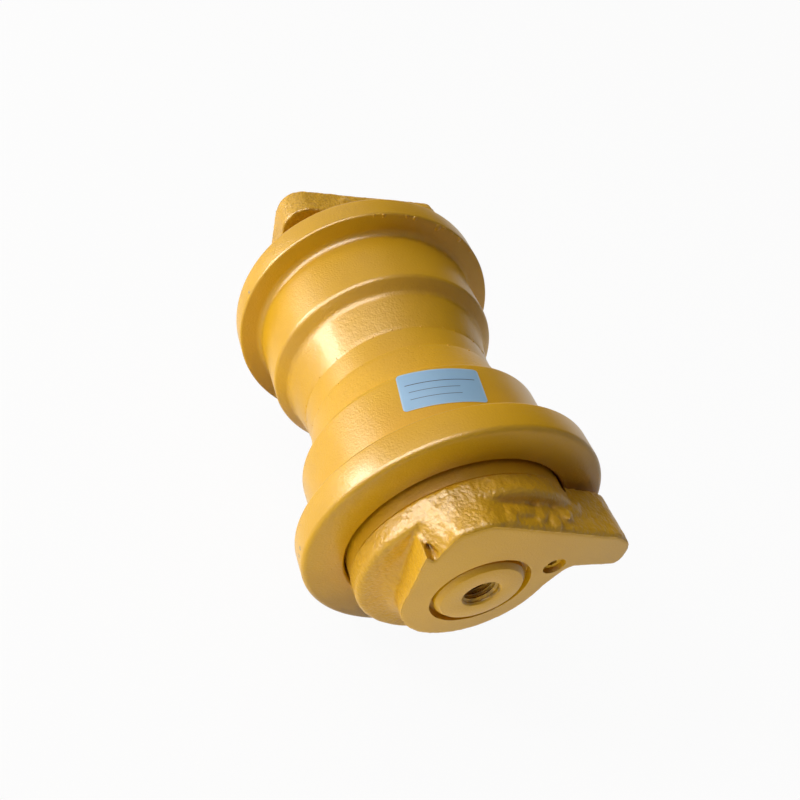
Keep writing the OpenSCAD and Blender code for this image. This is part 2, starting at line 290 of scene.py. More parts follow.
def turned(name, section, steps, closed=True, limit=None, test=lambda a, b: True):
    """Spins a section of (station, radius, round) corners about the axle; the near end is at -Y."""
    piece = chain(name, [((0.0, -s * MM, r * MM), q * MM) for s, r, q in section], closed)
    if limit:
        split_long(piece, limit, test)
    pick_all(piece)
    bpy.ops.mesh.spin(steps=steps, angle=2 * math.pi, center=(0, 0, 0), axis=(0, 1, 0), use_auto_merge=True)
    close_up(piece)
    return piece


def half_turn(piece):
    """Turns the whole mesh half round about the vertical, from one end of the axle to the other."""
    pick_all(piece)
    bpy.ops.transform.rotate(value=math.pi, orient_axis="Z", center_override=(0, 0, 0))
    bpy.ops.object.mode_set(mode="OBJECT")


def rod(name, radius, start, end, sides=96):
    """A plain cylinder from one point to another, with its place in its mesh."""
    drop_selection()
    start, end = Vector(start), Vector(end)
    along = end - start
    bpy.ops.mesh.primitive_cylinder_add(
        vertices=sides,
        radius=radius,
        depth=along.length,
        location=(start + end) / 2,
        rotation=along.to_track_quat("Z", "Y").to_euler(),
    )
    piece = bpy.context.object
    piece.name = piece.data.name = name
    bpy.ops.object.transform_apply(location=True, rotation=True, scale=True)
    return piece


def cut(piece, tool):
    """Cuts the tool out of the piece and throws the tool away."""
    change(piece, "BOOLEAN", operation="DIFFERENCE", object=tool, solver="MANIFOLD")
    bpy.data.objects.remove(tool)


def drop_crumbs(piece):
    """Keeps the main body of a piece and throws loose crumbs from the cutting away."""
    face = max(piece.data.vertices, key=lambda v: abs(v.co.y)).co.copy()
    pick(piece, lambda co, n: co == face)
    bpy.ops.mesh.select_linked()
    bpy.ops.mesh.select_all(action="INVERT")
    bpy.ops.mesh.delete(type="VERT")
    bpy.ops.object.mode_set(mode="OBJECT")


def merge_pieces(main, *others):
    """Joins the others into the main piece."""
    take(main)
    for piece in others:
        piece.select_set(True)
    bpy.ops.object.join()
    return main


def group_points(piece, name, test):
    """Puts the points that pass the test in a vertex group."""
    pick(piece, test)
    bpy.ops.object.vertex_group_add()
    piece.vertex_groups.active.name = name
    bpy.ops.object.vertex_group_assign()
    bpy.ops.object.mode_set(mode="OBJECT")


def clouds(name, size, depth):
    """A solid noise for pushing a surface in and out."""
    texture = bpy.data.textures.new(name, "CLOUDS")
    texture.noise_scale = size
    texture.noise_depth = depth
    return texture


def roughen(piece, texture, height, group):
    """Pushes a group of points in and out by a solid noise."""
    change(
        piece,
        "DISPLACE",
        texture=texture,
        texture_coords="LOCAL",
        strength=height,
        mid_level=0.5,
        vertex_group=group,
    )


def smooth(piece, degrees):
    """Shades the piece smooth between its sharp edges."""
    take(piece)
    bpy.ops.object.shade_smooth_by_angle(angle=math.radians(degrees))


class Wire:
    """One value in a finish. Sums on it add Math nodes."""

    def __init__(self, finish, socket):
        self.finish = finish
        self.socket = socket

    def sum(self, how, *values):
        return self.finish.node("Math", {"operation": how}, dict(enumerate(values)))

    def __add__(self, other):
        return self.sum("ADD", self, other)

    def __radd__(self, other):
        return self.sum("ADD", other, self)

    def __sub__(self, other):
        return self.sum("SUBTRACT", self, other)

    def __rsub__(self, other):
        return self.sum("SUBTRACT", other, self)

    def __mul__(self, other):
        return self.sum("MULTIPLY", self, other)

    def __rmul__(self, other):
        return self.sum("MULTIPLY", other, self)

    def __pow__(self, other):
        return self.sum("POWER", self, other)

    def __abs__(self):
        return self.sum("ABSOLUTE", self)

    def larger(self, other):
        """The larger of two values."""
        return self.sum("MAXIMUM", self, other)

    def above(self, low, high):
        """Goes smoothly from 0 at low to 1 at high, or the other way if low is the larger."""
        ends = {"Value": self, "From Min": low, "From Max": high}
        return self.finish.node("MapRange", {"interpolation_type": "SMOOTHSTEP"}, ends)


class Graph:
    """The nodes of a material or of the world."""

    def __init__(self, owner):
        owner.use_nodes = True
        self.tree = owner.node_tree
        self.tree.nodes.clear()

    def node(self, kind, settings=None, values=None, out=0):
        """Adds a node: its settings first, then its sockets, and returns one of its outputs."""
        made = self.tree.nodes.new("ShaderNode" + kind)
        for name, value in (settings or {}).items():
            setattr(made, name, value)
        for key, value in (values or {}).items():
            if isinstance(value, Wire):
                self.tree.links.new(value.socket, made.inputs[key])
            elif made.inputs[key].type == "RGBA":
                made.inputs[key].default_value = (*value[:3], 1.0)
            else:
                made.inputs[key].default_value = value
        return Wire(self, made.outputs[out]) if made.outputs else None

    def seen(self):
        """1 for what the camera, a reflection or a clear piece shows, and 0 for light on the object."""
        ways = [self.node("LightPath", out="Is %s Ray" % way) for way in ("Camera", "Glossy", "Transmission")]
        return ways[0].larger(ways[1]).larger(ways[2])


class Finish(Graph):
    """A procedural material that reads its place on the object."""

    def __init__(self, name):
        self.material = bpy.data.materials.new(name)
        super().__init__(self.material)
        self.place = self.node("TexCoord", out="Object")
        self.x = self.node("SeparateXYZ", {}, {0: self.place}, 0)
        self.y = self.node("SeparateXYZ", {}, {0: self.place}, 1)
        self.z = self.node("SeparateXYZ", {}, {0: self.place}, 2)
        self.station = abs(self.y)
        self.radius = (self.x * self.x + self.z * self.z) ** 0.5
        self.edge = self.node("NewGeometry", out="Pointiness")

    def noise(self, size, detail=2.0, roughness=0.5):
        """Soft noise with spots of about the size, in metres."""
        values = {"Vector": self.place, "Scale": 1.0 / size, "Detail": detail, "Roughness": roughness}
        return self.node("TexNoise", {}, values)

    def cells(self, size):
        """Rounded cells of about the size, in metres."""
        values = {"Vector": self.place, "Scale": 1.0 / size, "Smoothness": 0.6}
        return self.node("TexVoronoi", {"feature": "SMOOTH_F1"}, values)

    def blend(self, share, a, b):
        """Goes from colour a to colour b as share goes from 0 to 1."""
        return self.node("Mix", {"data_type": "RGBA"}, {0: share, 6: a, 7: b}, 2)

    def bump(self, height, depth, under=None):
        """A surface relief of that depth in metres, over another one if given."""
        values = {"Height": height, "Distance": depth, "Strength": 1.0}
        if under:
            values["Normal"] = under
        return self.node("Bump", {}, values)

    def done(self, values):
        """Feeds the main shader and closes the material."""
        shader = self.node("BsdfPrincipled", {}, values)
        self.node("OutputMaterial", {}, {"Surface": shader})
        return self.material


def enamel(finish, paint, skin, relief_depth, mottle=0.45, chips=()):
    """Glossy amber enamel. skin is 1 over a forged or cast skin and 0 over turned steel.

    chips are bare spots of (x, y, z, spread) in millimetres.
    """
    patches = finish.noise(32 * MM, 3.0, 0.5)
    grain = finish.noise(0.9 * MM, 2.0, 0.55)
    pimples = finish.cells(1.5 * MM)
    lumps = finish.noise(2.2 * MM, 3.0, 0.6)
    height = lumps * 0.7 + (1.0 - pimples) * 0.5
    colour = finish.blend(patches.above(0.36, 0.70) * 0.30, tuple(paint.amber), tuple(paint.deep))
    colour = finish.blend(skin * height.above(0.66, 0.38) * mottle, colour, tuple(paint.deep))
    # Painted highlight: the enamel is paler on convex edges, where pointiness is high.
    colour = finish.blend(finish.edge.above(0.53, 0.60) * 0.35, colour, tuple(paint.pale))
    # Painted shade: the enamel is darker where the surface is concave, in corners and creases.
    colour = finish.blend(finish.edge.above(0.475, 0.42) * 0.45, colour, tuple(paint.painted_shade))
    bare = finish.edge.above(0.545, 0.58) * finish.noise(4.5 * MM, 4.0, 0.65).above(0.67, 0.70)
    ragged = (finish.noise(1.4 * MM, 3.0, 0.6) - 0.5) * 4.5 * MM
    for x, y, z, spread in chips:
        spot = (x * MM, y * MM, z * MM)
        away = finish.node("VectorMath", {"operation": "DISTANCE"}, {0: finish.place, 1: spot}, 1)
        bare = bare.larger((away + ragged).above(spread * MM, 0.7 * spread * MM))
    colour = finish.blend(bare, colour, tuple(paint.primer))
    roughness = 0.27 + patches * 0.08 + skin * 0.06 + grain * 0.06 + bare * 0.30
    relief = finish.bump(grain, 0.15 * MM)
    relief = finish.bump(skin * height, relief_depth, relief)
    relief = finish.bump(1.0 - bare, 0.12 * MM, relief)
    return {
        "Base Color": colour,
        "Roughness": roughness,
        "Normal": relief,
        "IOR": 1.5,
        "Specular IOR Level": 0.24,
        "Coat Weight": 0.10,
        "Coat Roughness": 0.16,
    }


class ROLLER_OT_shell(Operator):
    """Turns the flanged shell and roughens its forged waist"""

    bl_idname = "roller.shell"
    bl_label = "Flanged Shell"

    def drop(self, turn, station, reach, spread, long=1.0, thin=1.0):
        """One bead of paint or weld at an angle round the axle in degrees, drawn out or thinned."""
        turn = math.radians(turn)
        drop_selection()
        bpy.ops.mesh.primitive_ico_sphere_add(
            subdivisions=2,
            radius=spread * MM,
            location=(reach * MM * math.cos(turn), -station * MM, reach * MM * math.sin(turn)),
            rotation=(0, -turn, 0),
            scale=(long, thin, 1.0),
        )
        bpy.ops.object.transform_apply(location=True, rotation=True, scale=True)
        return bpy.context.object

    def execute(self, context):
        size = context.scene.roller_shell
        half, rim, tread = size.half_width / MM, size.flange_radius / MM, size.tread_radius / MM
        foot, waist, weld = size.foot_radius / MM, size.waist_radius / MM, size.weld_radius / MM
        flange, bush_seat, oil_room = 13.9, 23.57, 26.97
        outside = [
            (6.0, weld, 3.0),
            (7.8, waist, 3.0),
            (25.6, foot, 4.5),
            (30.2, tread, 2.6),
            (half - 14.5, tread, 3.5),
            (half - flange, rim, 1.2),
            (half, rim, 2.5),
        ]
        inside = [
            (half, 51.0, 0.25),
            (half - 1.0, 50.0, 0.25),
            (half - 13.0, 50.0, 0.6),
            (half - 13.0, SEAL_RADIUS, 0.4),
            (half - 24.0, SEAL_RADIUS, 0.6),
            (half - 24.0, bush_seat, 0.3),
            (18.0, bush_seat, 0.0),
            (18.0, oil_room, 0.0),
        ]
        other = lambda part: [(-s, r, q) for s, r, q in reversed(part)]
        section = other(outside) + outside + inside + other(inside)
        reach, core = 31.0 * MM, 40 * MM
        on_waist = lambda a, b: max(abs(a.y), abs(b.y)) < reach and min(a.z, b.z) > core
        shell = turned("shell", section, size.steps, limit=0.9 * MM, test=on_waist)
        as_forged = lambda co, n: 6.9 * MM < abs(co.y) < 28.6 * MM and math.hypot(co.x, co.z) > core
        group_points(shell, "forged", as_forged)
        roughen(shell, clouds("forge waves", 16 * MM, 1), 2 * size.forge_depth, "forged")
        roughen(shell, clouds("forge pimples", 2.6 * MM, 2), size.forge_depth, "forged")
        # Paint runs on the inner edge of the far flange: degrees round the axle, and size.
        runs = [(79, 1.8), (76, 0.9), (91, 1.2), (95, 0.9), (66, 1.2)]
        runs += [(105, 1.1), (109, 0.8), (57, 0.9), (71, 0.8)]
        beads = []
        for turn, spread in runs:
            station = flange - half - 0.05 * spread
            beads.append(self.drop(turn, station, rim - 1.12 * spread, spread, 1.1, 0.36))
        # Weld spatter along both edges of the weld band.
        for i in range(150):
            sway = math.sin(5.1 * i)
            station = (7.2 + 1.3 * sway) * (-1 if i % 3 else 1)
            spread = 0.30 + 0.14 * math.sin(2.3 * i)
            beads.append(self.drop(2.4 * i + 4 * sway, station, weld + 0.25 - 0.3 * spread, spread))
        merge_pieces(shell, *beads)
        smooth(shell, 40)
        finish = Finish("shell enamel")
        skin = finish.station.above(30.2 * MM, 27.5 * MM) * finish.station.above(5.8 * MM, 7.0 * MM)
        skin = skin * finish.radius.above(44 * MM, 45 * MM)
        chips = [
            (-67.4, 65.7, 8.9, 0.9),
            (-67.0, -71.9, -11.8, 0.9),
            (-65.8, -72.1, -17.0, 1.1),
            (-46.5, -77.0, -15.5, 0.6),
        ]
        look = enamel(finish, context.scene.roller_paint, skin, 0.13 * MM, 0.12, chips)
        shell.data.materials.append(finish.done(look))
        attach(shell, "roller")
        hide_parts("roller_shell")
        return {"FINISHED"}


class ROLLER_OT_collars(Operator):
    """Casts the two end collars, then turns, bores and drills them"""

    bl_idname = "roller.collars"
    bl_label = "End Collars"

    def outline(self, size, top, shoulder, nose, under):
        """Front view of the block and its wing as corners of (x, z, round)."""
        fall = math.tan(size.slope)
        height = lambda x: top - x * fall
        low, shift = size.block_radius / MM, size.block_shift / MM
        start, end, drop, rounding = shoulder
        return [
            (start, height(start), 2 * rounding),
            (end, height(start) - drop, rounding),
            (-33.2, 23.6, 0.4),
            (-38.2, 26.4, 0.4),
            (-shift - low, 0.0, 0.0),
            (-shift - low, -low, low),
            (low - shift, -low, low),
            (low - shift, 0.0, 0.0),
            *under,
            (nose[0], height(nose[0]), nose[1]),
        ]

    def web(self, name):
        """The flank that narrows from the rim of the disc to the shoulder of the block."""
        back, depth = 84.0, 19.0
        rim = [(-20.8, 45.6), (-30.0, 41.4), (-36.5, 36.3), (-41.0, 29.8), (-43.5, 23.4), (-18.0, 23.4)]
        shoulder = [(-20.8, 43.4), (-26.0, 40.4), (-29.8, 37.4), (-31.4, 33.0), (-33.1, 27.5), (-18.0, 23.4)]
        web = chain(name + " web", [((x * MM, -back * MM, z * MM), 0.0) for x, z in rim], True)
        pick_all(web)
        bpy.ops.mesh.edge_face_add()
        bpy.ops.mesh.extrude_region_move(TRANSFORM_OT_translate={"value": (0, -depth * MM, 0)})
        for (x, z), (inner_x, inner_z) in zip(rim, shoulder):
            corner = Vector((x, -back - depth, z)) * MM
            pick(web, lambda co, n: (co - corner).length < 0.1 * MM)
            bpy.ops.transform.translate(value=((inner_x - x) * MM, 0, (inner_z - z) * MM))
        close_up(web)
        return web

    def gate_scar(self, name, x, station, z, turn, spread):
        """One angular lump where the casting gate was knocked off."""
        drop_selection()
        bpy.ops.mesh.primitive_ico_sphere_add(
            subdivisions=1,
            radius=MM,
            location=(x * MM, -station * MM, z * MM),
            rotation=(math.radians(5 * math.sin(turn)), math.radians(8), math.radians(turn)),
            scale=(spread, 0.55 * spread, 1.7),
        )
        scar = bpy.context.object
        scar.name = name + " scar"
        bpy.ops.object.transform_apply(location=True, rotation=True, scale=True)
        return scar

    def casting(self, size, name, corners, back, gate):
        """The rough casting of a collar at the near end, before any machining."""
        front = size.front
        loop = [((x * MM, -back * MM, z * MM), q * MM) for x, z, q in corners]
        block = chain(name, loop, True)
        pick_all(block)
        bpy.ops.mesh.edge_face_add()
        bpy.ops.mesh.extrude_region_move(TRANSFORM_OT_translate={"value": (0, back * MM - front, 0)})
        close_up(block)
        on_face = lambda co: abs(co.y + front) < 1e-6 and co.z > 33.0 * MM
        pick(block, lambda a, b: on_face(a) and on_face(b), "EDGE")
        bpy.ops.mesh.bevel(offset=size.top_round, offset_type="OFFSET", segments=4, affect="EDGES")
        bpy.ops.object.mode_set(mode="OBJECT")
        hub_back, core, face = 57.25, 15.0, front / MM - 0.6
        body = [
            (hub_back, core, 0.0),
            (hub_back, HUB_RADIUS, 0.0),
            (DISC_BACK, HUB_RADIUS, 0.0),
            (DISC_BACK, size.skin_radius / MM, 0.0),
            (size.disc_front / MM, size.skin_radius / MM, 3.2),
            (size.disc_front / MM, COVE_FOOT, size.cove / MM),
            (face, COVE_FOOT, 0.0),
            (face, core, 0.0),
        ]
        disc = turned(name + " disc", body, 128)
        return merge_pieces(block, disc, self.web(name), *(self.gate_scar(name, *scar) for scar in gate))

    def machine(self, size, collar):
        """Turns the band, the seal pocket and the bore, and drills the plug and pin holes."""
        band, end, face = size.band_radius / MM, size.band_end / MM, size.front / MM
        back, floor, beyond = 50.0, 75.5, 62.0
        shaft_bore, recess = 20.02, 22.4
        pocket = [
            (back, HUB_RADIUS, 0.0),
            (floor, HUB_RADIUS, 0.0),
            (floor, SEAL_RADIUS, 0.0),
            (DISC_BACK, SEAL_RADIUS, 0.0),
            (DISC_BACK, band, 0.3),
            (end - 0.9, band, 0.0),
            (end - 0.5, band - 0.6, 0.0),
            (end, band - 0.1, 0.0),
            (end, band + 0.9, 0.0),
            (80.4, band + 0.9, 0.0),
            (80.4, beyond, 0.0),
            (back, beyond, 0.0),
        ]
        bore = [
            (back, 0.0, 0.0),
            (back, shaft_bore, 0.0),
            (face - 4.0, shaft_bore, 0.0),
            (face - 4.0, recess, 0.5),
            (face + 9.0, recess, 0.0),
            (face + 9.0, 0.0, 0.0),
        ]
        cut(collar, turned("pocket tool", pocket, 160))
        cut(collar, turned("bore tool", bore, 160, closed=False))
        x, z = 28.6 * MM, 16.0 * MM
        seat = size.front - 2.5 * MM
        cut(collar, rod("recess tool", 5.2 * MM, (x, -seat, z), (x, -seat - 9 * MM, z)))
        cut(collar, rod("plug tool", 4.02 * MM, (x, -74 * MM, z), (x, -seat - MM, z)))
        x, y = -20.5 * MM, -86.5 * MM
        cut(collar, rod("pin tool", 5.02 * MM, (x, y, 14.02 * MM), (x, y, -beyond * MM), sides=80))

    def execute(self, context):
        size = context.scene.roller_collar
        near = self.outline(
            size,
            size.near_top / MM,
            (-19.0, -31.0, 6.5, 6.5),
            (65.0, 17.5),
            [(36.4, 12.0, 2.0), (39.0, 15.3, 5.0), (64.6, 15.0, 3.0)],
        )
        far = self.outline(
            size,
            size.far_top / MM,
            (-26.0, -34.0, 5.0, 3.0),
            (54.6, 12.5),
            [(36.4, 6.0, 2.0), (40.0, 9.0, 4.0), (48.8, 9.0, 7.0)],
        )
        finish = Finish("casting enamel")
        face = finish.station.above(size.front - 0.35 * MM, size.front - 0.12 * MM)
        band = finish.station.above(size.band_end + 0.05 * MM, size.band_end - 0.1 * MM)
        skin = (1.0 - face) * (1.0 - band * finish.radius.above(49.3 * MM, 49.15 * MM))
        skin = skin * finish.radius.above(22.3 * MM, 22.6 * MM)
        material = finish.done(enamel(finish, context.scene.roller_paint, skin, 0.42 * MM))
        # Lumps of the knocked-off gate: x, station, height, turn in degrees, size.
        gate = [
            (28.0, 92.0, 39.0, 25, 9.0),
            (19.0, 94.0, 40.3, 140, 8.5),
            (9.0, 94.5, 41.5, 55, 9.0),
            (0.0, 95.5, 42.9, 10, 8.0),
            (-8.0, 97.5, 43.6, 75, 7.0),
            (14.0, 97.5, 40.9, 100, 7.0),
        ]
        for name, corners, back in (("near_collar", near, 80.5), ("far_collar", far, 87.0)):
            sunk = 1.3
            lift = (size.far_top - size.near_top) / MM - sunk if name == "far_collar" else 0.0
            scars = [(x, max(s, back + 4.0), z + lift, *rest) for x, s, z, *rest in gate]
            collar = self.casting(size, name.replace("_", " "), corners, back, scars)
            if name == "far_collar":
                half_turn(collar)
            change(collar, "REMESH", mode="VOXEL", voxel_size=size.voxel)
            change(collar, "SMOOTH", factor=0.5, iterations=5)
            flat = size.front - 0.9 * MM
            group_points(collar, "skin", lambda co, n: not (abs(co.y) > flat and abs(n.y) > 0.93))
            group_points(collar, "rough", lambda co, n: n.z > 0.45 and abs(n.y) < 0.8)
            roughen(collar, clouds("casting waves", 9 * MM, 2), size.skin_depth * 0.6, "skin")
            roughen(collar, clouds("casting sand", 1.8 * MM, 2), size.skin_depth * 0.30, "skin")
            roughen(collar, clouds("casting lumps", 3.4 * MM, 2), size.skin_depth, "rough")
            if name == "far_collar":
                half_turn(collar)
            self.machine(size, collar)
            change(collar, "TRIANGULATE", ngon_method="BEAUTY")
            drop_crumbs(collar)
            if name == "far_collar":
                half_turn(collar)
            smooth(collar, 40)
            collar.name = collar.data.name = name.replace("collar", "casting")
            collar.data.materials.clear()
            collar.data.materials.append(material)
            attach(collar, "axle")
            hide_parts(name)
        return {"FINISHED"}


class ROLLER_OT_shaft(Operator):
    """Turns the shaft and winds the threads in its ends"""

    bl_idname = "roller.shaft"
    bl_label = "Threaded Shaft"

    def thread(self, size, name):
        """The ridge of the thread in the near end, wound along the axle."""
        start, tall = size.end - 26.4 * MM, 1.05 * MM
        wall = size.thread_radius + 0.06 * MM
        ridge = chain(
            name,
            [
                ((0, -start, wall), 0.0),
                ((0, -start - 0.44 * size.pitch, wall - tall), 0.0),
                ((0, -start - 0.56 * size.pitch, wall - tall), 0.0),
                ((0, -start - size.pitch * 0.98, wall), 0.0),
            ],
            True,
        )
        change(
            ridge,
            "SCREW",
            axis="Y",
            screw_offset=-size.pitch,
            angle=2 * math.pi,
            iterations=12,
            steps=48,
            render_steps=48,
        )
        pick_all(ridge)
        bpy.ops.mesh.remove_doubles(threshold=MERGE)
        bpy.ops.mesh.fill_holes(sides=4)
        close_up(ridge)
        return ridge

    def execute(self, context):
        size = context.scene.roller_shaft
        end, hole, depth = size.end / MM, size.thread_radius / MM, size.thread_depth / MM
        body, chamfer = size.radius / MM, size.chamfer / MM
        half = [
            (end - chamfer, body, 0.35),
            (end, body - chamfer, 0.35),
            (end, hole + 0.9, 0.2),
            (end - 0.9, hole, 0.2),
            (end - depth, hole, 0.0),
            (end - depth - 4.0, 0.0, 0.0),
        ]
        other = [(-s, r, q) for s, r, q in reversed(half)]
        shaft = turned("shaft_turned", other + half, 128, closed=False)
        near = self.thread(size, "near thread")
        take(near)
        bpy.ops.object.duplicate()
        far = context.object
        half_turn(far)
        merge_pieces(shaft, near, far)
        smooth(shaft, 32)
        finish = Finish("shaft enamel")
        paint = context.scene.roller_paint
        look = enamel(finish, paint, finish.radius * 0.0, 0.1 * MM)
        in_hole = finish.radius.above(8.9 * MM, 8.3 * MM)
        # Painted shade: the inside of the tapped hole is darkened in patches.
        hole_shade = in_hole * finish.noise(4 * MM, 3.0).above(0.30, 0.75) * 0.75
        look["Base Color"] = finish.blend(hole_shade, look["Base Color"], tuple(paint.painted_shade))
        shaft.data.materials.append(finish.done(look))
        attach(shaft, "axle")
        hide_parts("shaft")
        return {"FINISHED"}


class ROLLER_OT_label(Operator):
    """Cuts the blank film label and wraps it on the near tread"""

    bl_idname = "roller.label"
    bl_label = "Blank Label"

    def execute(self, context):
        size = context.scene.roller_label
        paint = context.scene.roller_paint
        tread = context.scene.roller_shell.tread_radius
        middle = (LABEL_LOW.y + LABEL_HIGH.y) / 2
        drop_selection()
        bpy.ops.mesh.primitive_plane_add(size=1.0)
        label = context.object
        label.name = label.data.name = "label_film"
        pick_all(label)
        bpy.ops.transform.resize(value=(size.long, size.wide, 1.0))
        bpy.ops.mesh.bevel(offset=size.corner, offset_type="OFFSET", segments=5, affect="VERTICES")
        pick_all(label)
        bpy.ops.transform.rotate(value=-size.skew, orient_axis="Z", center_override=(0, 0, 0))
        for i in range(-13, 14):
            bpy.ops.mesh.select_all(action="SELECT")
            bpy.ops.mesh.bisect(plane_co=(i * size.long / 28, 0, 0), plane_no=(1, 0, 0))
        for i in range(-6, 7):
            bpy.ops.mesh.select_all(action="SELECT")
            bpy.ops.mesh.bisect(plane_co=(0, i * size.wide / 14, 0), plane_no=(0, 1, 0))
        bpy.ops.mesh.select_all(action="SELECT")
        bpy.ops.transform.translate(value=(0, middle, tread + 3 * MM))
        bpy.ops.object.mode_set(mode="OBJECT")
        drum = rod("wrap drum", tread + 0.02 * MM, (0, -0.07, 0), (0, -0.02, 0), 720)
        change(
            label,
            "SHRINKWRAP",
            target=drum,
            wrap_method="PROJECT",
            use_project_z=True,
            use_negative_direction=True,
            use_positive_direction=False,
        )
        bpy.data.objects.remove(drum)
        change(label, "SOLIDIFY", thickness=size.film, offset=1.0)
        pick_all(label)
        bpy.ops.mesh.normals_make_consistent(inside=False)
        bpy.ops.transform.rotate(value=size.turn - math.pi / 2, orient_axis="Y", center_override=(0, 0, 0))
        bpy.ops.object.mode_set(mode="OBJECT")
        smooth(label, 30)
        finish = Finish("label film")
        turn = finish.node("Math", {"operation": "ARCTAN2"}, {0: finish.z, 1: finish.x})
        along = (turn - size.turn) * tread
        across = finish.y - middle
        u = along * math.cos(size.skew) - across * math.sin(size.skew)
        v = across * math.cos(size.skew) + along * math.sin(size.skew)
        lines = abs(v - 3.2 * MM).above(0.26 * MM, 0.14 * MM)
        for place in (-0.6, -4.4):
            ruled = abs(v - place * MM).above(0.20 * MM, 0.10 * MM)
            lines = lines + ruled * abs(u - 3.0 * MM).above(10.6 * MM, 10.4 * MM)
        lines = lines * abs(u).above(14.6 * MM, 14.4 * MM)
        rim = 0.7 * MM
        ends = abs(u).above(size.long / 2 - rim, size.long / 2)
        border = ends.larger(abs(v).above(size.wide / 2 - rim, size.wide / 2))
        haze = finish.noise(9 * MM, 3.0, 0.5)
        film = finish.blend(haze * 0.5, tuple(paint.film), (0.26, 0.43, 0.62))
        film = finish.blend(border * 0.5, film, (0.40, 0.54, 0.68))
        film = finish.blend(lines, film, tuple(paint.rule))
        wrinkle = finish.bump(finish.noise(5 * MM, 2.0), 0.10 * MM)
        look = {"Base Color": film, "Roughness": 0.30 + haze * 0.15, "Normal": wrinkle, "Coat Weight": 0.15}
        label.data.materials.append(finish.done(look))
        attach(label, "roller")
        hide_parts("inspection_label")
        return {"FINISHED"}


class ROLLER_OT_inner(Operator):
    """Finishes the bushes, seals, pins and plugs that keep their solid shapes"""

    bl_idname = "roller.inner"
    bl_label = "Inner Parts"

    def metal(self, name, light, dark, rough, lines):
        """Turned metal with fine lines round the axle."""
        finish = Finish(name)
        worn = finish.noise(6 * MM, 4.0, 0.6)
        along = (finish.station + finish.radius) * (1.0 / lines)
        rings = finish.node("TexNoise", {"noise_dimensions": "1D"}, {"W": along, "Detail": 2.0})
        colour = finish.blend(worn.above(0.35, 0.7) * 0.7, light, dark)
        return finish.done(
            {
                "Base Color": colour,
                "Metallic": 1.0,
                "Roughness": rough + worn * 0.18,
                "Normal": finish.bump(rings * 0.6 + finish.noise(0.6 * MM) * 0.4, 0.03 * MM),
            }
        )

    def rubber(self):
        """Black rubber with a bloom of dust."""
        finish = Finish("seal rubber")
        dust = finish.noise(4 * MM, 4.0, 0.6)
        colour = finish.blend(dust.above(0.45, 0.8) * 0.4, (0.012, 0.012, 0.013), (0.05, 0.048, 0.045))
        return finish.done(
            {
                "Base Color": colour,
                "Roughness": 0.55 + dust * 0.25,
                "Normal": finish.bump(finish.noise(0.4 * MM, 2.0), 0.03 * MM),
            }
        )

    def execute(self, context):
        paint = context.scene.roller_paint
        plug = Finish("plug enamel")
        look = enamel(plug, paint, plug.radius * 0.0, 0.1 * MM)
        # Painted shade: the plug is darkened deep inside its socket.
        socket = (plug.station - (COLLAR_HIGH.y - 3.5 * MM)).above(1.5 * MM, -0.5 * MM)
        look["Base Color"] = plug.blend(socket * 0.8, look["Base Color"], tuple(paint.painted_shade))
        finishes = {
            "bush": self.metal("bush bronze", (0.52, 0.30, 0.11), (0.36, 0.19, 0.07), 0.28, 0.5 * MM),
            "ring": self.metal("seal iron", (0.30, 0.30, 0.31), (0.16, 0.15, 0.15), 0.22, 0.4 * MM),
            "toric": self.rubber(),
            "pin": self.metal("pin steel", (0.36, 0.36, 0.38), (0.20, 0.18, 0.17), 0.30, 0.3 * MM),
            "plug": plug.done(look),
        }
        finishes["oring"] = finishes["toric"]
        done = 0
        for name, node in frame["nodes"].items():
            kind = name.split("_")[-1]
            if kind in finishes and name not in ("roller_shell", "shaft", "inspection_label"):
                for slot in node.material_slots:
                    slot.material = finishes[kind]
                done += 1
        if done != 16:
            raise RuntimeError("Expected sixteen inner parts, found %d" % done)
        return {"FINISHED"}


